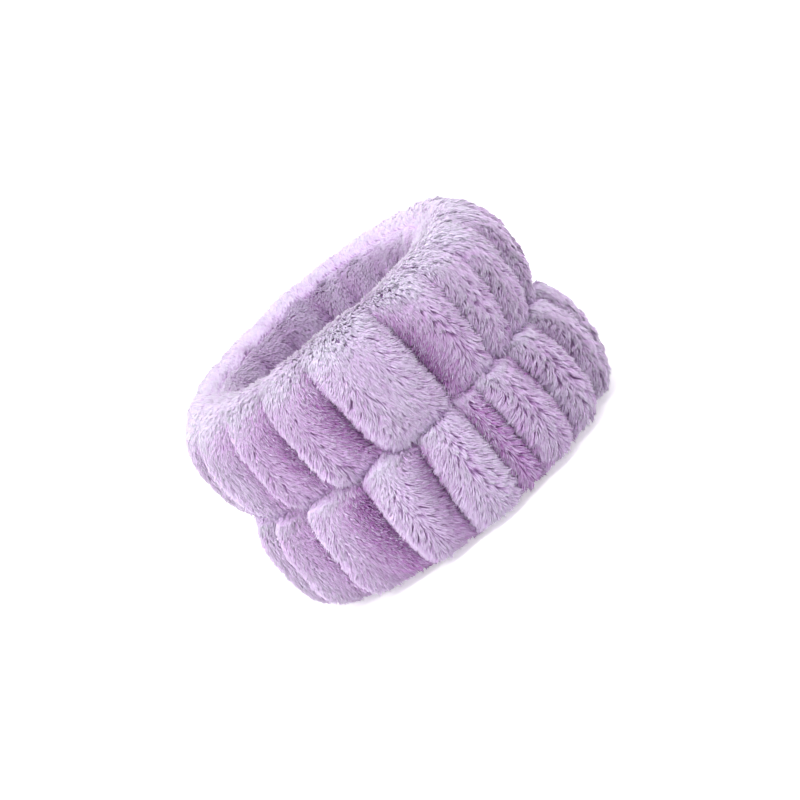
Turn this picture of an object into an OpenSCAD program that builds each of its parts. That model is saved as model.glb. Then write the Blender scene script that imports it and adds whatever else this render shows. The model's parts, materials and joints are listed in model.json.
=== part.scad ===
// Elasticated fleece band for the wrist: a short closed tube, worn over the hand.
// One fleece strip is folded into two channels, one above the other, and a flat
// elastic loop runs in each channel. Z is the tube's axis, and Z = 0 is the face
// of the lower rim, which the band stands on. The band stretches along Y, so each
// part that goes all the way round is made as a front half (-Y) and a rear half (+Y).

/* [Band] */
// Outside diameter over the puffs, pile lightly pressed
band_d = 102; // [96:1:120]
// Height from rim to rim
band_h = 67; // [60:1:80]
// Thickness of the puffed wall, from lining to outer face
wall_t = 19.5; // [18:0.5:22]
// Rounding of the rims and of the puffs beside the middle seam
puff_round = 8; // [6:0.5:8.5]

/* [Fleece] */
// Thickness of the gathered fleece, backing and pile together
fleece_t = 5.5; // [4:0.5:6]
// Depth of the groove at the middle seam, on the outer face and on the lining
groove_depth = 4.5; // [2:0.5:6]
// Height of the cloth that is caught flat in the middle seam
seam_web_h = 6; // [4:0.5:8]
// Width of the turned-in cloth edge at the long seam and at the closing seam
allowance_w = 4; // [3:0.5:5]
// Thickness of one cloth edge inside a seam
allowance_t = 2; // [1:0.5:2]

/* [Elastic] */
// Width of each flat elastic
elastic_w = 16; // [10:1:16]
// Thickness of each flat elastic
elastic_t = 1.5; // [1:0.1:1.6]
// Angle that the elastic's lapped ends cover
lap_angle = 22; // [10:1:30]
// Place of the lap, counted from +X towards +Y
lap_at = 55; // [40:1:70]

/* [Thread] */
// Thickness of the sewing thread
thread_t = 0.5; // [0.3:0.1:0.8]
// Number of stitches in half a turn of a round seam
stitches_half = 32; // [16:1:48]
// Number of stitches across each channel in the closing seam
closing_stitches = 6; // [3:1:8]
// Number of stitches up each elastic lap
lap_stitches = 5; // [3:1:8]

/* [Hidden] */
$fn = 96;

lilac = [0.76, 0.68, 0.82];
elastic_white = [0.93, 0.92, 0.94];
thread_lilac = [0.66, 0.56, 0.74];

band_r = band_d / 2;
inner_r = band_r - wall_t;
row_h = band_h / 2;
channel_t = wall_t - 2 * fleece_t;
channel_h = row_h - 2 * fleece_t;
channel_r = inner_r + fleece_t;
channel_round = 2;
elastic_r = channel_r + allowance_t;
web_in_r = inner_r + groove_depth;
web_out_r = band_r - groove_depth;
long_seam_z = fleece_t + channel_h - allowance_w;
closing_at = 90;
turn_front = 180;
turn_rear = 0;
over_cut = 5;

// Rectangle with round corners, its lower left corner at the origin
module round_rect(w, h, r) {
    translate([r, 0]) square([w - 2 * r, h]);
    translate([0, r]) square([w, h - 2 * r]);
    for (x = [r, w - r], y = [r, h - r]) translate([x, y]) circle(r);
}

// Outline of the folded cloth, cut through the wall: two puffs and the seam between them
module wall_section() {
    difference() {
        union() {
            for (z = [0, row_h]) translate([inner_r, z]) round_rect(wall_t, row_h, puff_round);
            translate([web_in_r, row_h - seam_web_h / 2])
                square([web_out_r - web_in_r, seam_web_h]);
        }
        for (z = [0, row_h])
            translate([channel_r, z + fleece_t]) round_rect(channel_t, channel_h, channel_round);
    }
}

// Half a turn about Z of the outline given
module half_turn(start) {
    rotate([0, 0, start]) rotate_extrude(angle = 180) children();
}

// The strip's long edges, turned into the lower channel beside the middle seam
module long_allowance() {
    translate([channel_r, long_seam_z]) square([allowance_t, allowance_w]);
}

// The strip's two ends, turned into both channels at the back
module closing_allowance() {
    for (z = [0, row_h])
        rotate([0, 0, closing_at])
            translate([band_r - fleece_t - allowance_w, -allowance_t, z + fleece_t])
                cube([allowance_w + fleece_t / 2, 2 * allowance_t, channel_h]);
}

module cover_front() {
    color(lilac) half_turn(turn_front) {
        wall_section();
        long_allowance();
    }
}

module cover_rear() {
    color(lilac) {
        half_turn(turn_rear) {
            wall_section();
            long_allowance();
        }
        closing_allowance();
    }
}

// Part of a turn of one elastic, in the middle of its channel
module elastic_arc(row, angle, layers) {
    rotate_extrude(angle = angle)
        translate([elastic_r, row * row_h + (row_h - elastic_w) / 2])
            square([layers * elastic_t, elastic_w]);
}

module elastic_front(row) {
    color(elastic_white) rotate([0, 0, turn_front]) elastic_arc(row, 180, 1);
}

// What is trimmed off the outer layer between two angles, beside the lap
module outer_layer_cut(row, from, to) {
    rotate([0, 0, from]) rotate_extrude(angle = to - from)
        translate([elastic_r + elastic_t, row * row_h + channel_round])
            square([2 * elastic_t, row_h - 2 * channel_round]);
}

// The rear half carries the lap, where the loop's two ends lie on each other
module elastic_rear(row) {
    color(elastic_white) difference() {
        elastic_arc(row, 180, 2);
        outer_layer_cut(row, -over_cut, lap_at - lap_angle / 2);
        outer_layer_cut(row, lap_at + lap_angle / 2, 180 + over_cut);
    }
}

// One round seam: a run of thread on each face of the cloth, and a leg through it at each stitch
module round_seam(start, r_in, r_out, z) {
    color(thread_lilac) {
        half_turn(start) for (r = [r_in - thread_t, r_out])
            translate([r, z - thread_t / 2]) square(thread_t);
        for (i = [0.5 : stitches_half - 0.5])
            rotate([0, 0, start + i * 180 / stitches_half])
                translate([r_in - thread_t / 2, -thread_t / 2, z - thread_t / 2])
                    cube([r_out - r_in + thread_t, thread_t, thread_t]);
    }
}

module middle_seam_thread(start) {
    round_seam(start, web_in_r, web_out_r, row_h);
}

// The long seam joins the two turned-in edges, so its thread shows only inside the channel
module long_seam_thread(start) {
    color(thread_lilac)
        for (i = [0.5 : stitches_half - 0.5])
            rotate([0, 0, start + i * 180 / stitches_half])
                translate([channel_r, -thread_t / 2, long_seam_z - thread_t])
                    cube([allowance_t, thread_t, allowance_w + thread_t]);
}

// Whip stitches round the two turned-in ends, in both channels
module closing_seam_thread() {
    stitch_gap = channel_h / closing_stitches;
    color(thread_lilac) for (z = [0, row_h], i = [0.5 : closing_stitches - 0.5])
        rotate([0, 0, closing_at])
            translate([band_r - fleece_t - allowance_w - thread_t,
                       -allowance_t - thread_t,
                       z + fleece_t + i * stitch_gap - thread_t / 2])
                cube([2 * thread_t, 2 * (allowance_t + thread_t), thread_t]);
}

// Bars of thread across the elastic's lap, through both layers
module lap_thread(row) {
    bar_gap = elastic_w / lap_stitches;
    color(thread_lilac) for (side = [-1, 1], i = [0.5 : lap_stitches - 0.5])
        rotate([0, 0, lap_at + side * lap_angle / 4])
            translate([elastic_r - thread_t, -elastic_t,
                       row * row_h + (row_h - elastic_w) / 2 + i * bar_gap - thread_t / 2])
                cube([2 * (elastic_t + thread_t), 2 * elastic_t, thread_t]);
}

cover_front();
cover_rear();
elastic_front(1);  // upper_elastic_front
elastic_rear(1);  // upper_elastic_rear
elastic_front(0);  // lower_elastic_front
elastic_rear(0);  // lower_elastic_rear
middle_seam_thread(turn_front);  // middle_seam_thread_front
middle_seam_thread(turn_rear);  // middle_seam_thread_rear
long_seam_thread(turn_front);  // long_seam_thread_front
long_seam_thread(turn_rear);  // long_seam_thread_rear
closing_seam_thread();
lap_thread(1);  // upper_lap_thread
lap_thread(0);  // lower_lap_thread
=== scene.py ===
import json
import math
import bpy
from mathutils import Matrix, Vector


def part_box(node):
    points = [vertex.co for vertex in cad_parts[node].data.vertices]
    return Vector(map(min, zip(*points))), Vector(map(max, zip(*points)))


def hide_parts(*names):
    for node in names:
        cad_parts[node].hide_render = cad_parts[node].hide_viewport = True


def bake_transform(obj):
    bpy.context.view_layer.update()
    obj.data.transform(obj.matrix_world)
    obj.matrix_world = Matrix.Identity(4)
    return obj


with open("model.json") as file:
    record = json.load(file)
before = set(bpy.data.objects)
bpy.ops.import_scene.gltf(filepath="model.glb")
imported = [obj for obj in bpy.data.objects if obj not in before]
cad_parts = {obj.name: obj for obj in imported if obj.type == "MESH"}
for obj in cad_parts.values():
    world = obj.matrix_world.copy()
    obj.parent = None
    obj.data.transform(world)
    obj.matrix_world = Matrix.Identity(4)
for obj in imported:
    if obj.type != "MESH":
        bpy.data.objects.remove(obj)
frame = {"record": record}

# Elasticated long-pile fleece band. The cloth is one folded shell round two channels: outer
# face, rim, lining and rim again. The pile is real strands that grow on it in locks, and the
# elastics and threads lie inside, where the CAD model has them.

from types import SimpleNamespace

import bpy
import numpy as np
from mathutils import Quaternion, Vector

MM = 0.001
TINY = 1e-12
TURN = 2 * math.pi
UP = np.array([0.0, 0.0, 1.0])
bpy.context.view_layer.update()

# ---------------------------------------------------------------- sizes from the frame
cover_low = np.minimum(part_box("cover_front")[0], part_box("cover_rear")[0])
cover_high = np.maximum(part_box("cover_front")[1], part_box("cover_rear")[1])
mounts = {mount["name"]: mount for mount in frame["record"]["mounts"]}
band_r = float(cover_high[0])
band_h = float(cover_high[2] - cover_low[2])
opening_r = mounts["wrist_opening"]["dims"]["r_mm"] * MM
seam_z = float(cover_low[2]) + band_h / 2

# ---------------------------------------------------------------- the cloth under the pile
CLOTH_OUT = {True: band_r - 2.5 * MM, False: band_r - 1.7 * MM}    # furthest out: upper, lower row
CLOTH_IN = opening_r + 0.5 * MM     # furthest in, on the lining
CLOTH_BOTTOM = 1.9 * MM             # lowest line of the lower rim
CLOTH_TOP = band_h - 1.5 * MM       # highest line of the upper rim
CLOTH_THICK = 0.9 * MM
SQUARENESS = 2.7                    # of a row's section: 2 is an ellipse, higher is boxier
OUTER_RIM_SQUARENESS = {True: 2.15, False: 2.5}
GROOVE_ANGLE = math.radians(20)     # where a row's section stops short, at the middle seam
DEEP = 8.0 * MM                     # depth of a deep fold
CROWN_SKEW = 0.75                   # below 1, a puff's crown lies nearer the fold before it
FLANK_SHARE = 0.65                  # of a fold's depth; the sharp line at its bottom has the rest
CREASE_HALF = 1.5 * MM              # half width of that sharp line
FAINT = 2.2 * MM                    # a fold fades out where it would be shallower than this
RIM_FADE = {True: 0.85, False: 0.45}    # share of a fold's depth that is lost at the rim
SEAM_FADE = 0.6                     # share of it that is lost at the middle seam
CROWN_OUT, CROWN_IN = 1.6 * MM, 0.6 * MM    # how far the puffs swell, outer face and lining
LINING_FOLD = 0.35                  # depth of a deep fold on the lining, as a share of the outer one
LINING_CREASE = 0.6                 # how much the lining's pile shows its folds, likewise
UNEVEN = 0.4 * MM                   # size of the cloth's own slight waves
RIM_WANDER = 0.5 * MM               # how far the upper rim's height strays
STEEP = (0.2, 0.9)                  # slope at which a fold's flank begins to count, and counts fully
LEAN_REACH = 4                      # steps round the band over which the pile leans to a fold
AROUND, UP_FACE = 400, 36           # grid of the cloth: steps round the band, steps up a face of a row

# Folds that show, as (angle from the front towards +X, drift of that angle from the middle of
# the row to its head, depth, width on the side before it, width on the side after it).
# Angles are in degrees and sizes in mm. More folds fill the gaps between them.
UPPER_FOLDS = [
    (-135, -1, 7.0, 7.0, 5.0), (-113, 2, 4.6, 6.5, 3.5), (-94, 0, 4.4, 6.0, 3.5),
    (-74, 0, 3.8, 6.0, 3.0), (-54, 0, 5.4, 8.0, 3.0), (-35, -1, 8.2, 9.5, 3.0),
    (-14, -2, 9.2, 10.5, 3.0), (12.5, -1.5, 9.6, 3.0, 9.5), (34, -1, 4.6, 5.0, 2.6),
    (48, 1, 4.0, 6.0, 2.6), (67, 1, 5.4, 7.0, 3.2), (178, 1, 7.0, 6.0, 6.0),
]
LOWER_FOLDS = [
    (-91, -1, 5.4, 6.5, 3.5), (-71, 1, 4.8, 6.0, 3.5), (-50, 0, 6.4, 8.5, 3.2),
    (-25.3, -0.5, 8.8, 11.5, 3.2), (-4.5, 2.2, 8.2, 7.5, 2.8), (12, 0.5, 6.0, 2.8, 7.5),
    (23.5, -0.5, 6.8, 7.5, 2.6), (40.5, -1, 5.8, 6.5, 2.8), (59.5, -1.5, 6.4, 7.0, 3.0),
]
FOLD_GAP = 20                       # usual angle between folds, in degrees
WIDE_GAP = 1.75 * FOLD_GAP          # a gap that is wider than this gets more folds
# Ranges for those folds: shift from an even place, then drift, depth and the two widths
MORE_FOLDS = ((-3, 3), (-2, 2), (4.8, 7.2), (5, 8), (2.8, 4.5))


def with_more_folds(folds, seed):
    """The folds given, and others with their like in each wide gap."""
    rng = np.random.default_rng(seed)
    given = sorted(folds)
    starts = [fold[0] for fold in given]
    more = []
    for low, high in zip(starts, starts[1:] + [starts[0] + 360]):
        gap = high - low
        parts = round(gap / FOLD_GAP) if gap > WIDE_GAP else 1
        for k in range(1, parts):
            shift, *like = [rng.uniform(*ends) for ends in MORE_FOLDS]
            more.append((low + gap * k / parts + shift, *like))
    return given + more


def fold_field(folds, angle, rise):
    """How far the cloth is drawn in, in metres, at each angle; rise runs from -1 to 1 up the row."""
    total = np.zeros_like(angle)
    for at, drift, depth, before, after in folds:
        off = (angle - np.radians(at + drift * rise) + math.pi) % TURN - math.pi
        away = off * band_r
        width = np.where(away < 0, before, after) * MM
        flank = np.exp(-(away / width) ** 2)
        crease = np.exp(-(np.abs(away) / CREASE_HALF) ** 1.3)
        total += (depth * MM * (FLANK_SHARE * flank + (1 - FLANK_SHARE) * crease)) ** 4
    return total ** 0.25


def puff_field(folds, angle):
    """A crown between each two folds, higher where they are far apart, from 0 to 1."""
    at = np.radians(sorted(fold[0] for fold in folds))
    at = np.append(at, at[0] + TURN)
    crown = np.zeros_like(angle)
    for low, high in zip(at[:-1], at[1:]):
        share = (((angle - low) % TURN) / (high - low)) ** CROWN_SKEW
        height = min(1.0, (high - low) / math.radians(1.3 * FOLD_GAP))
        crown = np.where(share < 1, height * (1 - np.abs(2 * share - 1) ** 2.4), crown)
    return crown


def waves(angle, along, seed, count, finest):
    """Smooth noise, mostly from -1 to 1, that closes on itself round the band."""
    rng = np.random.default_rng(seed)
    total = np.zeros_like(angle)
    for _ in range(count):
        around = rng.integers(-finest, finest + 1)
        up = rng.integers(-6, 7)
        total += np.cos(around * angle + up * TURN * along + rng.uniform(0, TURN))
    return total / math.sqrt(2 * count)


def smooth(value, low, high):
    """0 below low, 1 above high, and an S between."""
    share = np.clip((value - low) / (high - low), 0, 1)
    return share * share * (3 - 2 * share)


def row_section(share, upper, outer):
    """Radius, height and rise of a row's outline; share runs up its outer face or its lining."""
    middle = (CLOTH_OUT[upper] + CLOTH_IN) / 2
    half_wide = (CLOTH_OUT[upper] - CLOTH_IN) / 2
    half_high = (CLOTH_TOP - CLOTH_BOTTOM) / 4
    centre = CLOTH_BOTTOM + half_high * (3 if upper else 1)
    low = -math.pi / 2 + (GROOVE_ANGLE if upper else 0)
    high = math.pi / 2 - (0 if upper else GROOVE_ANGLE)
    turn = low + (high - low) * share
    side = 1 if outer else -1
    rim_side = (turn > 0) == upper
    power = 2 / (OUTER_RIM_SQUARENESS[upper] if outer and rim_side else SQUARENESS)
    radius = middle + side * half_wide * abs(math.cos(turn)) ** power
    height = centre + half_high * math.copysign(abs(math.sin(turn)) ** power, turn)
    return radius, height, math.sin(turn)


def even_shares(upper, outer):
    """Shares that lie evenly along a row's outline."""
    fine = np.linspace(0, 1, 1500)
    outline = np.array([row_section(share, upper, outer)[:2] for share in fine])
    run = np.concatenate([[0], np.cumsum(np.linalg.norm(np.diff(outline, axis=0), axis=1))])
    return np.interp((np.arange(UP_FACE) + 0.5) / UP_FACE * run[-1], run, fine)


def cloth_ring(angle, share, upper, outer, place):
    """One ring of the cloth's outer skin, and how far its folds draw it in."""
    folds = with_more_folds(UPPER_FOLDS, 1) if upper else with_more_folds(LOWER_FOLDS, 2)
    radius, height, rise = row_section(share, upper, outer)
    to_rim = rise if upper else -rise
    at_rim = max(to_rim, 0)
    at_seam = smooth(-to_rim, 0.5, 0.9)
    belly = 1 - abs(rise) ** 3
    drawn = fold_field(folds, angle, rise)
    drawn = drawn * smooth(drawn, 0, FAINT)
    drawn = drawn * (1 - RIM_FADE[upper] * at_rim) * (1 - SEAM_FADE * at_seam)
    crown = puff_field(folds, angle) * belly
    if outer:
        radius = radius - drawn + CROWN_OUT * crown
    else:
        radius = radius + LINING_FOLD * drawn * drawn / DEEP - CROWN_IN * crown
    radius = radius + UNEVEN * waves(angle, np.full_like(angle, place), seed=3, count=12, finest=22)
    if upper:
        wander = waves(angle, np.zeros_like(angle), seed=5, count=8, finest=9)
        height = height + RIM_WANDER * at_rim * wander
    points = np.stack(np.broadcast_arrays(radius * np.sin(angle), -radius * np.cos(angle), height), 1)
    return points, drawn


def cloth_grid():
    """The cloth's outer skin, [round the band, round its section, xyz], and two fields on it:
    how deep in a fold each point lies, and which way round the band the nearest fold is."""
    angle = np.arange(AROUND) / AROUND * TURN - math.pi
    step = TURN * band_r / AROUND
    rings, creases, leans = [], [], []
    for outer, rows in ((True, (False, True)), (False, (True, False))):
        for upper in rows:
            shares = even_shares(upper, outer)
            for share in shares if outer else shares[::-1]:
                points, drawn = cloth_ring(angle, share, upper, outer, len(rings) / (4 * UP_FACE))
                slope = (np.roll(drawn, -1) - np.roll(drawn, 1)) / (2 * step)
                steep = np.sign(slope) * smooth(np.abs(slope), *STEEP)
                near = [np.roll(steep, k) for k in range(-LEAN_REACH, LEAN_REACH + 1)]
                rings.append(points)
                creases.append(drawn / DEEP * (1 if outer else LINING_CREASE))
                leans.append(sum(near) / LEAN_REACH)
    fields = np.stack([np.stack(creases, 1), np.stack(leans, 1)], 2)
    return np.stack(rings, 1), fields


def grid_directions(grid):
    """Unit directions round the band, round its section and out of the cloth, for a grid that
    closes on itself both ways."""
    round_band = unit(np.roll(grid, -1, 0) - np.roll(grid, 1, 0))
    round_section = unit(np.roll(grid, -1, 1) - np.roll(grid, 1, 1))
    return round_band, round_section, unit(np.cross(round_band, round_section))


def sample(grid, a, b):
    """Values of a closed grid at fractional steps a round the band and b round the section."""
    a0, b0 = np.floor(a).astype(int), np.floor(b).astype(int)
    fa, fb = (a - a0)[:, None], (b - b0)[:, None]
    n, m = grid.shape[:2]
    a0, a1, b0, b1 = a0 % n, (a0 + 1) % n, b0 % m, (b0 + 1) % m
    low = grid[a0, b0] * (1 - fa) + grid[a1, b0] * fa
    high = grid[a0, b1] * (1 - fa) + grid[a1, b1] * fa
    return low * (1 - fb) + high * fb


def unit(v):
    """Vectors of length 1, the same way."""
    return v / np.maximum(np.linalg.norm(v, axis=-1, keepdims=True), TINY)


# ---------------------------------------------------------------- the cloth fills out
SETTLE_FRAMES = 20
SETTLE_SLACK = 0.6 * MM              # how much smaller than drawn the cloth starts
SETTLE_LIMIT = 1.5 * MM              # furthest that a point of it moves
SETTLE_PRESSURE = 40                 # of the air in it
SETTLE_MASS = 0.0001                 # of a point of it, in kilograms
SEAM_REACH = 3                       # steps of the grid beside the middle seam that stay put
HELD = (0.35, 0.7)                   # depth at which a fold begins to stay put, and stays put fully


def simulated(cloth, held):
    """Where the cloth's points are after the simulation; held is how firmly each one is kept."""
    group = cloth.vertex_groups.new(name="held")
    for index, weight in enumerate(held.tolist()):
        group.add([index], weight, "REPLACE")
    sim = cloth.modifiers.new("cloth", "CLOTH")
    sim.point_cache.frame_end = SETTLE_FRAMES
    settings = sim.settings
    settings.vertex_group_mass = group.name
    settings.quality = 4
    settings.mass = SETTLE_MASS
    settings.tension_stiffness = settings.compression_stiffness = 0.5
    settings.shear_stiffness = 0.2
    settings.bending_stiffness = 0.02
    settings.use_pressure = True
    settings.uniform_pressure_force = SETTLE_PRESSURE
    settings.effector_weights.gravity = 0
    for frame_number in range(1, SETTLE_FRAMES + 1):
        bpy.context.scene.frame_set(frame_number)
    shape = cloth.evaluated_get(bpy.context.evaluated_depsgraph_get()).data
    after = np.empty(len(shape.vertices) * 3, np.float32)
    shape.vertices.foreach_get("co", after)
    bpy.context.scene.frame_set(1)
    return after.reshape(-1, 3)


def settled(grid, normals, creases):
    """The grid, moved as a cloth simulation moves it: air fills it out between the folds and the
    middle seam, which hold it."""
    coarse = (grid - SETTLE_SLACK * normals)[::2, ::2]
    points, corners, _ = grid_part(coarse)
    mesh = bpy.data.meshes.new("settling_cloth")
    mesh.from_pydata(points.tolist(), [], corners.reshape(-1, 4).tolist())
    cloth = bpy.data.objects.new("settling_cloth", mesh)
    bpy.context.collection.objects.link(cloth)
    ring = np.arange(0, grid.shape[1], 2)
    by_seam = np.abs(ring % (2 * UP_FACE) - UP_FACE) <= SEAM_REACH
    held = np.maximum(smooth(creases[::2, ::2], *HELD), by_seam)
    move = simulated(cloth, held.ravel()).reshape(coarse.shape) - coarse
    bpy.data.objects.remove(cloth)
    bpy.data.meshes.remove(mesh)
    far = np.linalg.norm(move, axis=2, keepdims=True)
    move = move * np.minimum(1, SETTLE_LIMIT / np.maximum(far, SETTLE_LIMIT / 100))
    for axis in (0, 1):
        move = 0.5 * move + 0.25 * (np.roll(move, 1, axis) + np.roll(move, -1, axis))
    a, b = np.meshgrid(np.arange(grid.shape[0]) / 2, np.arange(grid.shape[1]) / 2, indexing="ij")
    return grid + sample(move, a.ravel(), b.ravel()).reshape(grid.shape)


# ---------------------------------------------------------------- materials
def principled(name):
    """A new material, its nodes, its links and its shader."""
    material = bpy.data.materials.new(name)
    material.use_nodes = True
    nodes = material.node_tree.nodes
    return material, nodes, material.node_tree.links, nodes["Principled BSDF"]


def colour_ramp(nodes, stops):
    """A ramp through the colours given, as (place, colour)."""
    ramp = nodes.new("ShaderNodeValToRGB")
    elements = ramp.color_ramp.elements
    while len(elements) < len(stops):
        elements.new(0.5)
    for element, (place, colour) in zip(elements, stops):
        element.position = place
        element.color = (*colour, 1)
    return ramp


def map_values(nodes, links, layer):
    """The X and Y values of a mesh's own map."""
    uv = nodes.new("ShaderNodeUVMap")
    uv.uv_map = layer
    split = nodes.new("ShaderNodeSeparateXYZ")
    links.new(uv.outputs["UV"], split.inputs[0])
    return split.outputs["X"], split.outputs["Y"]


# Ramps from root to tip: the darker, more saturated roots are painted shade deep in the pile.
# DEEP_FLEECE is the end that painted shade in folds and on the lining pulls towards; PALE_FLEECE is the
# end that painted light on level, upward-facing cloth pulls towards.
DEEP_FLEECE = ((0.0, (0.25, 0.05, 0.28)), (0.45, (0.32, 0.09, 0.36)), (1.0, (0.43, 0.19, 0.51)))
PALE_FLEECE = ((0.0, (0.58, 0.26, 0.68)), (0.45, (0.70, 0.47, 0.86)), (1.0, (0.75, 0.68, 0.91)))


def pile_material():
    """Strands: saturated and darker at the root, which is painted shade deep in the pile, and pale at
    the tip; the map's U is the strand's own tone, low for painted shade and high for painted light.
    """
    material, nodes, links, shader = principled("fleece_pile")
    tone, height = map_values(nodes, links, "OFBake")
    mix = nodes.new("ShaderNodeMix")
    mix.data_type = "RGBA"
    links.new(tone, mix.inputs["Factor"])
    for stops, socket in ((DEEP_FLEECE, "A"), (PALE_FLEECE, "B")):
        ramp = colour_ramp(nodes, stops)
        links.new(height, ramp.inputs["Fac"])
        links.new(ramp.outputs["Color"], mix.inputs[socket])
    links.new(mix.outputs["Result"], shader.inputs["Base Color"])
    shader.inputs["Roughness"].default_value = 0.85
    shader.inputs["Specular IOR Level"].default_value = 0.0
    shader.inputs["Subsurface Weight"].default_value = 0.5
    shader.inputs["Subsurface Radius"].default_value = (0.9, 0.6, 1.0)
    shader.inputs["Subsurface Scale"].default_value = 0.6 * MM
    return material


def ripple(nodes, links, value, pitch):
    """A sine of the value, from -1 to 1, with that pitch in metres."""
    scaled = nodes.new("ShaderNodeMath")
    scaled.operation = "MULTIPLY"
    scaled.inputs[1].default_value = TURN / pitch
    links.new(value, scaled.inputs[0])
    sine = nodes.new("ShaderNodeMath")
    sine.operation = "SINE"
    links.new(scaled.outputs[0], sine.inputs[0])
    return sine.outputs[0]


YARN_FUZZ = 0.35                    # share of fine noise in a woven material's height
YARN_FUZZ_SCALE = 1500              # its fineness, per metre


def woven_material(name, stops, pitch_along, pitch_across, rough):
    """Two crossing yarns, from a map in metres along and across; they set colour and bump."""
    material, nodes, links, shader = principled(name)
    along, across = map_values(nodes, links, "yarn")
    cross = nodes.new("ShaderNodeMath")
    cross.operation = "MULTIPLY"
    links.new(ripple(nodes, links, along, pitch_along), cross.inputs[0])
    links.new(ripple(nodes, links, across, pitch_across), cross.inputs[1])
    noise = nodes.new("ShaderNodeTexNoise")
    noise.inputs["Scale"].default_value = YARN_FUZZ_SCALE
    place = nodes.new("ShaderNodeTexCoord")
    links.new(place.outputs["Object"], noise.inputs["Vector"])
    height = nodes.new("ShaderNodeMapRange")
    height.inputs["From Min"].default_value = -1
    links.new(cross.outputs[0], height.inputs["Value"])
    blend = nodes.new("ShaderNodeMix")
    blend.inputs["Factor"].default_value = YARN_FUZZ
    links.new(height.outputs["Result"], blend.inputs["A"])
    links.new(noise.outputs["Fac"], blend.inputs["B"])
    ramp = colour_ramp(nodes, stops)
    links.new(blend.outputs["Result"], ramp.inputs["Fac"])
    links.new(ramp.outputs["Color"], shader.inputs["Base Color"])
    bump = nodes.new("ShaderNodeBump")
    bump.inputs["Strength"].default_value = 0.7
    bump.inputs["Distance"].default_value = 0.1 * MM
    links.new(blend.outputs["Result"], bump.inputs["Height"])
    links.new(bump.outputs["Normal"], shader.inputs["Normal"])
    shader.inputs["Roughness"].default_value = rough
    shader.inputs["Sheen Weight"].default_value = 0.2
    return material


def grid_part(grid, capped=False, flip=False):
    """Points, corners and face sizes of a grid [n, m, xyz]: closed in its second direction,
    and in its first either closed or capped. Flip turns its faces the other way."""
    n, m = grid.shape[:2]
    i, j = np.meshgrid(np.arange(n - 1 if capped else n), np.arange(m), indexing="ij")
    i1, j1 = (i + 1) % n, (j + 1) % m
    corners = np.stack([i * m + j, i1 * m + j, i1 * m + j1, i * m + j1], -1).reshape(-1, 4)
    if flip:
        corners = corners[:, ::-1]
    sizes = [4] * len(corners)
    corners = corners.ravel()
    if capped:
        caps = [np.arange(m), np.arange(m)[::-1] + (n - 1) * m]
        if flip:
            caps = [cap[::-1] for cap in caps]
        corners = np.concatenate([corners, *caps])
        sizes += [m, m]
    return grid.reshape(-1, 3), corners, np.array(sizes)


def joined(parts):
    """Several parts as one: points, corners and face sizes."""
    starts = np.cumsum([0] + [len(points) for points, _, _ in parts[:-1]])
    return (
        np.concatenate([points for points, _, _ in parts]),
        np.concatenate([corners + start for (_, corners, _), start in zip(parts, starts)]),
        np.concatenate([sizes for _, _, sizes in parts]),
    )


def add_piece(name, part, material, layer, uv):
    """A piece from points, corners and face sizes, with one map."""
    points, corners, sizes = part
    mesh = bpy.data.meshes.new(name)
    mesh.vertices.add(len(points))
    mesh.vertices.foreach_set("co", points.astype(np.float32).ravel())
    mesh.loops.add(len(corners))
    mesh.loops.foreach_set("vertex_index", corners.astype(np.int32))
    mesh.polygons.add(len(sizes))
    starts = np.concatenate([[0], np.cumsum(sizes)[:-1]])
    mesh.polygons.foreach_set("loop_start", starts.astype(np.int32))
    mesh.uv_layers.new(name=layer).data.foreach_set("uv", uv[corners].astype(np.float32).ravel())
    mesh.update(calc_edges=True)
    mesh.polygons.foreach_set("use_smooth", np.ones(len(sizes), bool))
    mesh.materials.append(material)
    piece = bpy.data.objects.new(name, mesh)
    bpy.context.collection.objects.link(piece)
    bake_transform(piece)
    return piece


def at_angle(angle, radius, height):
    """A point or points, by the CAD model's angle from +X towards +Y."""
    return np.stack(np.broadcast_arrays(radius * np.cos(angle), radius * np.sin(angle), height), -1)


def rounded_bar(half_wide, half_high, count=16, boxiness=0.45):
    """A bar's section with rounded edges, counter-clockwise, as [point, (across, up)]."""
    turn = np.arange(count) / count * TURN
    round_section = np.stack([np.cos(turn), np.sin(turn)], 1)
    return np.sign(round_section) * np.abs(round_section) ** boxiness * (half_wide, half_high)


# ---------------------------------------------------------------- cloth
ALLOWANCE_W = 4.0 * MM              # the turned-in edges at the long seam and the closing seam
ALLOWANCE_T = 1.4 * MM
ALLOWANCE_GAP = 1.1                 # between the middles of the two ends at the back, in thicknesses
ELASTIC_GAP = 3.2 * MM              # from an elastic's edge to the end of its channel
KNIT_TONES = (0.35, 0.55)           # of the cloth's back, on every other point
KNIT_SHADE = 0.10                   # how far up the strands' colours the cloth's back lies
# Tone of the fleece: all over, how much patches add, how much painted light the level cloth that faces
# up adds, and how much painted shade a deep fold takes
TONE = 0.67
TONE_PATCHES = 0.06
TOP_PAINTED_LIGHT = 0.28
FOLD_PAINTED_SHADE = 0.95
channel_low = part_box("lower_elastic_front")[0][2] - ELASTIC_GAP
channel_h = band_h / 2 - 2 * channel_low


def fleece_tone(angle, along, crease, level):
    """From 0, dark and saturated, to 1, pale: soft patches, painted shade down in the folds, and painted
    light where the cloth is level and faces up towards the lamps."""
    patches = TONE_PATCHES * waves(angle, along, seed=21, count=18, finest=14)
    return TONE + patches + TOP_PAINTED_LIGHT * smooth(level, 0.45, 0.95) - FOLD_PAINTED_SHADE * crease.clip(0, 1) ** 0.9


def channel_skin(grid, normals, rings):
    """The inner face of the cloth round one channel, at half the outer skin's detail."""
    return (grid - normals * CLOTH_THICK)[::2, rings[::2]]


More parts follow.
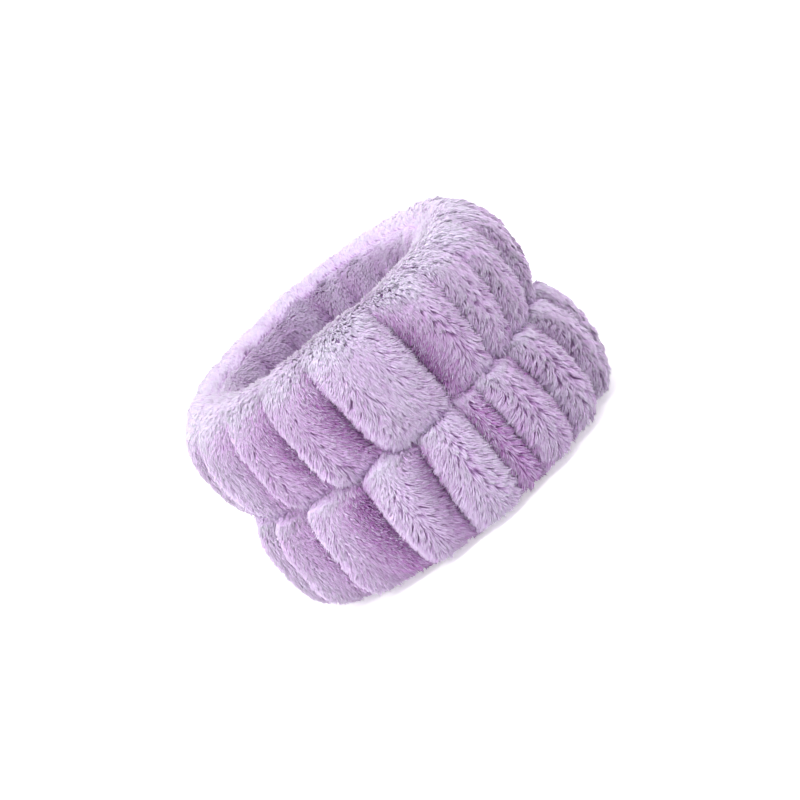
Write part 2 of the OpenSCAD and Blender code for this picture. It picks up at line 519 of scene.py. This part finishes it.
def turned_in_edges():
    """The strip's long edges in the lower channel, and its two ends at the back of both."""
    across, up = rounded_bar(ALLOWANCE_T / 2, ALLOWANCE_W / 2).T
    low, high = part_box("long_seam_thread_front")
    angle = np.arange(180) / 180 * TURN
    ring = at_angle(angle[:, None], high[0] - ALLOWANCE_T + across, (low[2] + high[2]) / 2 + up)
    edges = [grid_part(ring, flip=True)]
    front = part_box("closing_seam_thread")[0][1] + 0.5 * MM
    for row in (0, 1):
        heights = channel_low + row * band_h / 2 + np.linspace(0, channel_h, 12)
        for side in (-1, 1):
            x = side * ALLOWANCE_GAP / 2 * ALLOWANCE_T + across
            y = front + ALLOWANCE_W / 2 + up
            strip = np.stack(np.broadcast_arrays(x, y, heights[:, None]), -1)
            edges.append(grid_part(strip, capped=True, flip=True))
    return edges


def cover_cloth(grid, normals, fields, material):
    """The dense foot of the pile outside, and the knitted back of the cloth in both channels."""
    n, m = grid.shape[:2]
    a, b = np.meshgrid(np.arange(n) / n * TURN, np.arange(m) / m, indexing="ij")
    tone = fleece_tone(a, b, fields[:, :, 0], normals[:, :, 2]).clip(0.02, 0.98).ravel()
    # The foot takes dark root colours as painted shade where it shows between the strands, along with
    # the fleece's painted fold shade and painted top light.
    skin_uv = np.stack([tone, np.full_like(tone, FOOT_PAINTED_SHADE)], 1)
    lower = np.r_[0:UP_FACE, 3 * UP_FACE:4 * UP_FACE]
    upper = np.r_[UP_FACE:3 * UP_FACE]
    skins = [grid_part(channel_skin(grid, normals, rings), flip=True) for rings in (lower, upper)]
    inside = joined(skins + turned_in_edges())
    knit = np.take(KNIT_TONES, np.arange(len(inside[0])) % 2)
    knit_uv = np.stack([knit, np.full_like(knit, KNIT_SHADE)], 1)
    whole = joined([grid_part(grid), inside])
    uv = np.concatenate([skin_uv, knit_uv])
    return add_piece("cover_cloth", whole, material, "OFBake", uv)


# ---------------------------------------------------------------- the pile
FOOT_PAINTED_SHADE = 0.30                    # how far up the strands' colours the pile's foot lies: low and dark, as painted shade in the gaps between the strands
SIDES = 3                            # a strand is a spindle: a root, one ring of points and a tip
WIDEST = 0.72                        # where the ring is, as a share of the strand's length
LOCK_WIDE, LOCK_HIGH = 0.85 * MM, 1.15 * MM      # of a lock of strands, round the band and up it
LOCK_RAGGED = 0.20                   # how far strands stray into the next lock, in locks
OUTER_LENGTH, LINING_LENGTH = 4.6 * MM, 3.4 * MM
OUTER_THICK, LINING_THICK = 0.29 * MM, 0.40 * MM
LINING_PAINTED_SHADE = 0.06                   # how much darker the lining is painted, as painted shade inside the band
FLOOR_GAP = 0.2 * MM                 # least height of a strand's middle line
ROOT_DEPTH = 0.8 * MM                # how far a strand starts under the pile's foot
SOFTNESS = 0.70                      # share of the cloth's own normal in a strand's shading
STRANDS_EACH = 28_000                # strands in one piece, about
RIM_PART = 0.60                      # how far inwards the pile parts on the upper rim, 1 is the lining
FLAT_LEAN = math.radians(76)         # lean of the strands that the band stands on
MOST_COLUMNS = 10_000                # more than the locks in one row

# Lean of a lock in degrees: on the outer face, and what is added to it in other places
LEAN = 54
LEAN_RUFFLED = 5
LEAN_LINING = 6
LEAN_RIM = 20
LEAN_FOLD = -42
LEAN_OVER_SEAM = -30                 # where the upper row faces down, above the middle seam

# How much thicker the pile is where it fans out
MORE_ON_TOP = 0.7
MORE_IN_FOLD = 0.6
MORE_AT_PARTING = 0.8

# A lock's way in the cloth's plane: down, how much broad waves turn it, how far locks stray, calm
# and ruffled, and how hard a fold's flank pulls them, likewise
COMB_DOWN = 0.85
COMB_DRIFT, COMB_SWAY = 0.30, 0.25
ASTRAY, ASTRAY_RUFFLED = 0.05, 0.12
PULL, PULL_RUFFLED = 0.8, 0.3

# Share of a lock's length that is gained where ruffled, or lost in a fold, on top and on the ground
LONGER_RUFFLED = 0.20
SHORTER_IN_FOLD = 0.45
SHORTER_ON_TOP = 0.15
SHORTER_GROUNDED = 0.3

# The pile's regions from the lower rim round to the lining's foot, with strands in a square mm
REGIONS = (("outer_lower", 12.5), ("outer_upper", 12.5), ("lining_upper", 10.0), ("lining_lower", 7.0))
FIRST_SEED = 100

STRAND_CORNERS = np.array(
    [c for k in range(SIDES) for c in (0, 1 + (k + 1) % SIDES, 1 + k)]
    + [c for k in range(SIDES) for c in (1 + k, 1 + (k + 1) % SIDES, 1 + SIDES)]
)
STRAND_HEIGHT = np.array([0.02] + [WIDEST] * SIDES + [0.98])


def scatter(grid, weight, first, last, density, rng):
    """Even places on part of the cloth: section steps first to last, and density per square
    metre, times the weight at each step."""
    cells = np.arange(first, last)
    edge_a = np.roll(grid, -1, 0)[:, cells] - grid[:, cells]
    edge_b = np.roll(grid, -1, 1)[:, cells] - grid[:, cells]
    want = np.linalg.norm(np.cross(edge_a, edge_b), axis=2) * weight[:, cells] * density
    count = np.floor(want + rng.random(want.shape)).astype(int)
    i, j = np.meshgrid(np.arange(grid.shape[0]), cells, indexing="ij")
    a = np.repeat(i.ravel(), count.ravel()) + rng.random(count.sum())
    b = np.repeat(j.ravel(), count.ravel()) + rng.random(count.sum())
    return a, b


def ruffled(angle, along):
    """From 0, brushed smooth, to 1, in loose pointed locks; the angle starts at the back."""
    patches = 0.22 * waves(angle, along, seed=31, count=14, finest=7)
    return smooth(0.5 - 0.5 * np.sin(angle + 0.3) + patches, 0.05, 0.95)


def bent_path(base, normal, comb, lean, size):
    """Root, ring and tip of strands that lean more and more along the comb."""
    path = [base]
    for share, bend in ((WIDEST, 0.75), (1 - WIDEST, 1.40)):
        turn = (lean * bend).clip(0, 1.5)[:, None]
        way = np.cos(turn) * normal + np.sin(turn) * comb
        path.append(path[-1] + way * (size * share)[:, None])
    return path


def locks_of(grid, a, b, rng):
    """The lock that each strand belongs to, as an index: bricks with ragged edges. Also gives each
    lock's middle, as steps on the grid."""
    middle = grid[:, int(b.mean())]
    step_a = TURN * np.hypot(middle[:, 0], middle[:, 1]).mean() / len(grid)
    step_b = np.linalg.norm(np.roll(grid, -1, 1) - grid, axis=2).mean()
    ragged = LOCK_RAGGED * rng.normal(size=(2, len(a)))
    row = np.floor(b * step_b / LOCK_HIGH + ragged[0])
    column = np.floor(a * step_a / LOCK_WIDE + 0.5 * (row % 2) + ragged[1])
    _, index = np.unique(row * MOST_COLUMNS + column, return_inverse=True)
    share = np.bincount(index)
    return index, np.bincount(index, a) / share, np.bincount(index, b) / share


def facings(grid, normals):
    """Which way each point of the cloth faces, from -1, in, to 1, out: as it is, and as the pile
    takes it, which parts on the upper rim a little way in."""
    outward = np.sum(normals * unit(grid * [1, 1, 0]), 2)
    return outward, outward + RIM_PART * smooth(normals[:, :, 2], 0, 0.5)


def pile_weight(up, facing, crease):
    """How thick the pile is: thicker where it fans out, over the upper rim, where it parts, and
    down the flanks of a fold."""
    parting = np.exp(-(facing / 0.3) ** 2) * smooth(up, 0, 0.4)
    more = MORE_ON_TOP * smooth(up, 0.1, 0.7) + MORE_IN_FOLD * smooth(crease, 0.1, 0.5)
    return 1 + more + MORE_AT_PARTING * parting


def lock_places(grid, directions, fields, outward, facing, a, b):
    """Where each lock stands: the cloth's directions there, and from 0 to 1 how far it is in a fold,
    calm as on the lining, ruffled, on the ground, or over the middle seam."""
    round_band, round_section, normals = directions
    at = SimpleNamespace(count=len(a), angle=a / grid.shape[0] * TURN, along=b / grid.shape[1])
    at.root = sample(grid, a, b)
    at.normal = unit(sample(normals, a, b))
    at.up = at.normal[:, 2]
    outward, at.facing = sample(np.stack([outward, facing], 2), a, b).T
    at.down = -unit(sample(round_section, a, b)) * np.sign(at.facing)[:, None]
    at.side = unit(sample(round_band, a, b))
    at.crease, at.toward = sample(fields, a, b).T
    at.in_fold = smooth(at.crease, 0.12, 0.65)
    at.calm = smooth(-outward, -0.4, 0.6)
    at.ruffle = ruffled(at.angle, at.along) * (1 - at.calm) * (1 - at.in_fold)
    at.ruffle = at.ruffle * (1 - 0.7 * smooth(at.up, 0.05, 0.5))
    below = smooth(-at.up, 0.45, 0.85)
    near_floor = (b < UP_FACE) | (b > 3 * UP_FACE)
    at.grounded = below * near_floor
    at.over_seam = below * ~near_floor
    return at


def lock_comb(at, rng):
    """Each lock's way in the cloth's plane: down, towards the nearest fold, and astray."""
    astray = ASTRAY + ASTRAY_RUFFLED * at.ruffle
    drift = COMB_DRIFT * waves(at.angle, at.along, seed=11, count=16, finest=20)
    drift = drift + astray * rng.normal(size=at.count)
    sway = COMB_SWAY * waves(at.angle, at.along, seed=12, count=16, finest=20)
    sway = sway + astray * rng.normal(size=at.count)
    pull = (PULL + PULL_RUFFLED * at.ruffle) * (1 - 0.8 * at.calm)
    pull = pull * (1 + 0.4 * waves(at.angle, at.along, seed=13, count=16, finest=24))
    sway = sway + pull * at.toward
    return unit(at.down * (COMB_DOWN + drift)[:, None] + at.side * sway[:, None])


def lock_lean(at, rng):
    """How far each lock leans from the cloth's normal, in radians."""
    lean = LEAN + LEAN_RUFFLED * at.ruffle + LEAN_LINING * at.calm
    lean = lean + LEAN_RIM * smooth(at.up, 0.1, 0.6)
    lean = lean + LEAN_FOLD * at.in_fold + LEAN_OVER_SEAM * at.over_seam
    lean = np.radians(lean + (2 + 2 * at.ruffle) * rng.normal(size=at.count))
    lean = lean * np.abs(at.facing).clip(0, 1) ** 0.5
    return lean * (1 - at.grounded) + FLAT_LEAN * at.grounded


def lock_length(at, rng):
    """Length of each lock: longer where ruffled, shorter in a fold, on top and on the ground."""
    level = smooth(at.up, 0.3, 0.9)
    uneven = (0.03 + 0.06 * at.ruffle + 0.08 * level) * rng.normal(size=at.count).clip(-1.5, 1.5)
    length = OUTER_LENGTH + (LINING_LENGTH - OUTER_LENGTH) * at.calm
    length = length * (1 + LONGER_RUFFLED * at.ruffle + uneven)
    length = length * (1 - SHORTER_IN_FOLD * at.crease.clip(0, 1)) * (1 - SHORTER_ON_TOP * level)
    return length * (1 - SHORTER_GROUNDED * at.grounded)


def lock_tone(at, rng):
    """Tone of each lock, from 0, dark, to 1, pale, with painted shade on the lining."""
    tone = fleece_tone(at.angle, at.along, at.crease, at.up) - LINING_PAINTED_SHADE * at.calm
    return tone + (0.02 + 0.05 * at.ruffle) * rng.normal(size=at.count)


def grow(grid, directions, fields, first, last, rng, per_mm2):
    """Strands on part of the cloth, as [strand, (root, ring, tip), xyz], the tone and thickness
    of each, and the cloth's normal under it."""
    normals = directions[2]
    outward, facing = facings(grid, normals)
    weight = pile_weight(normals[:, :, 2], facing, fields[:, :, 0])
    own_a, own_b = scatter(grid, weight, first, last, per_mm2 / MM ** 2, rng)
    lock, a, b = locks_of(grid, own_a, own_b, rng)
    at = lock_places(grid, directions, fields, outward, facing, a, b)
    comb = lock_comb(at, rng)
    lean = lock_lean(at, rng)
    size = lock_length(at, rng)
    tone = lock_tone(at, rng)
    lock_path = bent_path(at.root - at.normal * ROOT_DEPTH, at.normal, comb, lean, size)
    # each strand's own path, drawn towards its lock's path at the tip
    count = len(lock)
    normal = unit(sample(normals, own_a, own_b))
    own_comb = comb[lock] + 0.10 * rng.normal(size=(count, 3))
    own_comb = unit(own_comb - normal * np.sum(own_comb * normal, 1, keepdims=True))
    uneven = (0.07 + 0.10 * at.in_fold[lock]) * rng.normal(size=count).clip(-2, 2)
    own_lean = lean[lock] + 0.06 * rng.normal(size=count)
    root = sample(grid, own_a, own_b) - normal * ROOT_DEPTH
    path = bent_path(root, normal, own_comb, own_lean, size[lock] * (1 + uneven))
    draw = (0.05 + 0.30 * at.ruffle)[lock][:, None]
    for k, share in ((1, 0.35), (2, 1.0)):
        path[k] = path[k] * (1 - share * draw) + lock_path[k][lock] * share * draw
    centres = np.stack(path, 1)
    centres[:, :, 2] = np.maximum(centres[:, :, 2], FLOOR_GAP)
    grain = (0.05 + 0.38 * at.in_fold)[lock] * rng.normal(size=count)
    thick = OUTER_THICK + (LINING_THICK - OUTER_THICK) * at.calm[lock]
    return centres, (tone[lock] + grain).clip(0.01, 0.99), thick, normal


def strand_part(centres, tone, thick, cloth_normal):
    """Many strands as one part, with the map of their points and their shading normals, which
    are mostly the cloth's, because the pile scatters light as one soft surface."""
    count = len(centres)
    forward = unit(centres[:, 2] - centres[:, 0])
    helper = np.where(np.abs(forward[:, 2:3]) < 0.8, UP, [1.0, 0.0, 0.0])
    right = unit(np.cross(forward, helper))
    above = np.cross(forward, right)
    points = np.empty((count, SIDES + 2, 3))
    shading = np.empty((count, SIDES + 2, 3))
    points[:, 0], points[:, -1] = centres[:, 0], centres[:, 2]
    shading[:, 0], shading[:, -1] = cloth_normal, cloth_normal + (1 - SOFTNESS) * forward
    for k in range(SIDES):
        turn = TURN * k / SIDES
        spoke = right * math.cos(turn) + above * math.sin(turn)
        points[:, 1 + k] = centres[:, 1] + thick[:, None] / 2 * spoke
        shading[:, 1 + k] = SOFTNESS * cloth_normal + (1 - SOFTNESS) * spoke
    corners = STRAND_CORNERS + np.arange(count)[:, None] * (SIDES + 2)
    uv = np.empty((count, SIDES + 2, 2))
    uv[:, :, 0] = tone[:, None]
    uv[:, :, 1] = STRAND_HEIGHT
    part = points.reshape(-1, 3), corners.ravel(), np.full(2 * SIDES * count, 3)
    return part, uv.reshape(-1, 2), unit(shading).reshape(-1, 3)


def pile(grid, directions, fields, material):
    """The pile of every face of the cloth, split into pieces round the band."""
    thin = 1
    pieces = []
    for index, (region, per_mm2) in enumerate(REGIONS):
        rng = np.random.default_rng(FIRST_SEED + index)
        first, last = index * UP_FACE, (index + 1) * UP_FACE
        centres, tone, thick, normal = grow(grid, directions, fields, first, last, rng, per_mm2 / thin)
        turn = np.arctan2(centres[:, 0, 0], -centres[:, 0, 1]) / TURN + 0.5
        parts = math.ceil(len(centres) / STRANDS_EACH)
        sector = (turn * parts).astype(int).clip(0, parts - 1)
        for k in range(parts):
            pick = sector == k
            part, uv, shading = strand_part(centres[pick], tone[pick], thick[pick], normal[pick])
            name = f"pile_{region}_{k + 1:02d}"
            piece = add_piece(name, part, material, "OFBake", uv)
            piece.data.normals_split_custom_set_from_vertices(shading)
            pieces.append(piece)
    return pieces


# ---------------------------------------------------------------- elastics and threads
ELASTIC_T = 1.5 * MM
LAP_ANGLE = math.radians(22)
RIB_PITCH = 1.15 * MM
RIB_DEPTH = 0.10 * MM
TAPE_STEPS, TAPE_POINTS = 330, 59    # round the loop, and across each face of the tape
LAP_CLIMB = math.radians(9)          # angle over which the outer end climbs onto the inner one
LAP_GAP = 0.1 * MM                   # between the two layers of the lap
THREAD_R = 0.25 * MM
THREAD_LAY = 1.6 * MM                # length in which the thread's two plies wind once round
THREAD_SIDES = 8
STITCH_POINTS = 15
ROUND_STITCHES = 64                  # in each seam that goes all the way round
STITCH_SHARE = 0.92                  # of the pitch of the middle seam's stitches, the rest is gap
CLOSING_STITCHES = 6                 # in each channel
LAP_COLUMNS, LAP_BARS = 2, 5
LAP_STITCH_HALF = 1.4 * MM


def elastic_loop(name, row, material):
    """A ribbed tape once round its channel, with its outer end lapped over its inner one."""
    low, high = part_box(f"{row}_elastic_front")
    lap_low, lap_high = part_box(f"{row}_lap_thread")
    lap_at = math.atan2(lap_low[1] + lap_high[1], lap_low[0] + lap_high[0])
    start, end = lap_at - LAP_ANGLE / 2, lap_at + LAP_ANGLE / 2 + TURN
    angle = np.linspace(start, end, TAPE_STEPS)
    lift = smooth(angle, start + TURN - LAP_CLIMB, start + TURN)
    radius = high[0] - ELASTIC_T / 2 + lift * (ELASTIC_T + LAP_GAP)
    up = np.linspace(-0.5, 0.5, TAPE_POINTS + 2)[1:-1] * (high[2] - low[2])
    rib = RIB_DEPTH * (np.cos(TURN * up / RIB_PITCH) - 1)
    edge = 1 - np.abs(2 * up / (high[2] - low[2])) ** 14
    half = (ELASTIC_T / 2 + rib) * (0.4 + 0.6 * edge)
    out, across = np.concatenate([np.stack([half, up], 1), np.stack([-half, up], 1)[::-1]]).T
    rings = at_angle(angle[:, None], radius[:, None] + out, (low[2] + high[2]) / 2 + across)
    uv = np.stack(np.broadcast_arrays((angle * high[0])[:, None], across), -1).reshape(-1, 2)
    part = grid_part(rings, capped=True, flip=True)
    piece = add_piece(name, part, material, "yarn", uv)
    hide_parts(f"{row}_elastic_front", f"{row}_elastic_rear")


def stitch(centre, across, over, half, rise):
    """One stitch, an arch of two-ply thread over the cloth with its legs in it, and its map."""
    turn = np.linspace(0, math.pi, STITCH_POINTS)
    swing = -np.sign(np.cos(turn)) * np.abs(np.cos(turn)) ** 0.4 * half
    lift = np.sin(turn) ** 0.4 * rise
    path = centre + swing[:, None] * across + lift[:, None] * over
    along = unit(np.gradient(path, axis=0))
    flat = np.cross(across, over)
    side = np.cross(along, flat)
    run = np.concatenate([[0], np.cumsum(np.linalg.norm(np.diff(path, axis=0), axis=1))])
    spin = np.arange(THREAD_SIDES) / THREAD_SIDES * TURN
    wide = THREAD_R * (1 + 0.18 * np.cos(2 * (spin - TURN * run[:, None] / THREAD_LAY)))
    spokes = np.cos(spin)[None, :, None] * side[:, None] + np.sin(spin)[None, :, None] * flat
    rings = path[:, None] + wide[:, :, None] * spokes
    run, around = run[:, None], spin * THREAD_R
    uv = np.stack([run + around, run - around], -1).reshape(-1, 2)
    return grid_part(rings, capped=True), uv


def sewn(name, stitches, material, *nodes):
    """A seam's stitches as one piece that stands for the CAD model's thread."""
    parts, maps = zip(*stitches)
    piece = add_piece(name, joined(parts), material, "yarn", np.concatenate(maps))
    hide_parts(*nodes)


def seam_radius(grid, ring):
    """The cloth's radius at the middle seam, as a function of the CAD model's angle."""
    line = (grid[:, ring - 1] + grid[:, ring]) / 2
    angle = np.arctan2(line[:, 1], line[:, 0])
    order = np.argsort(angle)
    radius = np.hypot(line[:, 0], line[:, 1])
    return lambda at: np.interp(at, angle[order], radius[order], period=TURN)


def middle_seam(grid, material):
    """Stitches round the outer face and round the lining, locked together between them."""
    outer_r, inner_r = seam_radius(grid, UP_FACE), seam_radius(grid, 3 * UP_FACE)
    made = []
    for k in range(ROUND_STITCHES):
        angle = (k + 0.5) / ROUND_STITCHES * TURN
        out, along = at_angle(angle, 1, 0), at_angle(angle + TURN / 4, 1, 0)
        locked = (outer_r(angle) + inner_r(angle)) / 2
        for over, face in ((out, outer_r(angle)), (-out, inner_r(angle))):
            half = STITCH_SHARE / 2 * TURN / ROUND_STITCHES * face
            rise = abs(face - locked) + 0.1 * MM
            made.append(stitch(out * locked + UP * seam_z, along, over, half, rise))
    nodes = "middle_seam_thread_front", "middle_seam_thread_rear"
    sewn("middle_seam_thread", made, material, *nodes)


def long_seam(material):
    """Whip stitches over the strip's long edges, inside the lower channel."""
    low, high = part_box("long_seam_thread_front")
    half = ALLOWANCE_T / 2 + THREAD_R
    made = []
    for k in range(ROUND_STITCHES):
        out = at_angle((k + 0.5) / ROUND_STITCHES * TURN, 1, 0)
        centre = out * (high[0] - ALLOWANCE_T) + UP * high[2]
        made.append(stitch(centre, out, -UP, half, high[2] - low[2]))
    sewn("long_seam_thread", made, material, "long_seam_thread_front", "long_seam_thread_rear")


def closing_seam(material):
    """Whip stitches over the strip's two ends, in both channels at the back."""
    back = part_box("closing_seam_thread")[0][1] + ALLOWANCE_W
    across, over = np.array([1.0, 0, 0]), np.array([0, -1.0, 0])
    half = 1.05 * ALLOWANCE_T + THREAD_R
    made = []
    for row in (0, 1):
        for k in range(CLOSING_STITCHES):
            z = channel_low + row * band_h / 2 + (k + 0.5) / CLOSING_STITCHES * channel_h
            made.append(stitch(np.array([0, back, z]), across, over, half, ALLOWANCE_W))
    sewn("closing_seam_thread", made, material, "closing_seam_thread")


def lap_seam(row, material):
    """Columns of bars through both layers of an elastic's lap."""
    low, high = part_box(f"{row}_lap_thread")
    tape_low, tape_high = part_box(f"{row}_elastic_front")
    lap_at = math.atan2(low[1] + high[1], low[0] + high[0])
    made = []
    for column in range(LAP_COLUMNS):
        angle = lap_at + ((column + 0.5) / LAP_COLUMNS - 0.5) * LAP_ANGLE
        out, along = at_angle(angle, 1, 0), at_angle(angle + TURN / 4, 1, 0)
        for k in range(LAP_BARS):
            z = tape_low[2] + (k + 0.5) / LAP_BARS * (tape_high[2] - tape_low[2])
            centre = out * tape_high[0] + UP * z
            for over in (out, -out):
                made.append(stitch(centre, along, over, LAP_STITCH_HALF, ELASTIC_T + 0.3 * MM))
    sewn(f"{row}_lap_thread", made, material, f"{row}_lap_thread")


# ---------------------------------------------------------------- studio
AMBIENT = 1.24                       # the sky's light, beside the lamps
BACKDROP = 1.02                      # the sky's brightness where the camera sees it
FLOOR_GLOW = 0.45                    # keeps the floor as pale as the backdrop
# Name, place in metres, size in metres and power in watts of each lamp
LAMPS = (("key", (-0.62, -0.42, 0.66), 0.35, 4.4), ("top", (0.10, -0.52, 0.80), 0.40, 3.2))


def studio():
    """Pale backdrop and floor, an even sky, and two soft lamps from the left and above."""
    world = bpy.data.worlds.new("studio")
    bpy.context.scene.world = world
    world.use_nodes = True
    nodes, links = world.node_tree.nodes, world.node_tree.links
    background = nodes["Background"]
    path = nodes.new("ShaderNodeLightPath")
    level = nodes.new("ShaderNodeMapRange")
    level.inputs["To Min"].default_value = AMBIENT
    level.inputs["To Max"].default_value = BACKDROP
    links.new(path.outputs["Is Camera Ray"], level.inputs["Value"])
    links.new(level.outputs["Result"], background.inputs["Strength"])
    background.inputs["Color"].default_value = (1, 1, 1, 1)
    bpy.context.scene.view_settings.view_transform = "Standard"

    material, _, _, shader = principled("floor")
    shader.inputs["Base Color"].default_value = (0.80, 0.80, 0.80, 1)
    shader.inputs["Roughness"].default_value = 0.9
    shader.inputs["Emission Color"].default_value = (1, 1, 1, 1)
    shader.inputs["Emission Strength"].default_value = FLOOR_GLOW
    bpy.ops.mesh.primitive_circle_add(vertices=96, radius=6, fill_type="NGON")
    floor = bpy.context.object
    floor.name = "floor"
    floor.data.materials.append(material)

    for name, place, size, power in LAMPS:
        light = bpy.data.lights.new(name, "AREA")
        light.size = size
        light.energy = power
        lamp = bpy.data.objects.new(name, light)
        lamp.location = place
        aim = Vector((0, 0, seam_z)) - lamp.location
        lamp.rotation_euler = aim.to_track_quat("-Z", "Y").to_euler()
        bpy.context.collection.objects.link(lamp)


VIEW_ELEVATION = math.radians(13.2)
VIEW_ROLL = math.radians(40.0)
VIEW_DISTANCE = 0.832
VIEW_LENS = 140.3
VIEW_SHIFT = (0.0103, -0.0049)


def camera():
    """A long lens, a little above the band and rolled, so that its upper rim faces up and left."""
    data = bpy.data.cameras.new("camera")
    data.lens = VIEW_LENS
    data.clip_start = 0.01
    data.clip_end = 20
    cam = bpy.data.objects.new("camera", data)
    back = Vector((0, -math.cos(VIEW_ELEVATION), math.sin(VIEW_ELEVATION)))
    target = Vector((0, 0, seam_z))
    cam.location = target + back * VIEW_DISTANCE
    cam.rotation_mode = "QUATERNION"
    cam.rotation_quaternion = (-back).to_track_quat("-Z", "Y") @ Quaternion((0, 0, 1), -VIEW_ROLL)
    data.shift_x, data.shift_y = VIEW_SHIFT
    bpy.context.collection.objects.link(cam)
    bpy.context.scene.camera = cam


camera()
studio()
grid, fields = cloth_grid()
grid = settled(grid, grid_directions(grid)[2], fields[:, :, 0])
directions = grid_directions(grid)
fleece = pile_material()
cloth = cover_cloth(grid, directions[2], fields, fleece)
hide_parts("cover_front", "cover_rear")
strands = pile(grid, directions, fields, fleece)

tape_colours = ((0.25, (0.66, 0.62, 0.70)), (0.75, (0.93, 0.92, 0.95)))
tape = woven_material("elastic_tape", tape_colours, 0.9 * MM, 2 * RIB_PITCH, 0.75)
thread_colours = ((0.2, (0.30, 0.20, 0.38)), (0.8, (0.52, 0.40, 0.62)))
thread = woven_material("lilac_thread", thread_colours, 0.5 * MM, 0.5 * MM, 0.55)
for row in ("upper", "lower"):
    elastic_loop(f"{row}_elastic", row, tape)
    lap_seam(row, thread)
middle_seam(grid, thread)
long_seam(thread)
closing_seam(thread)
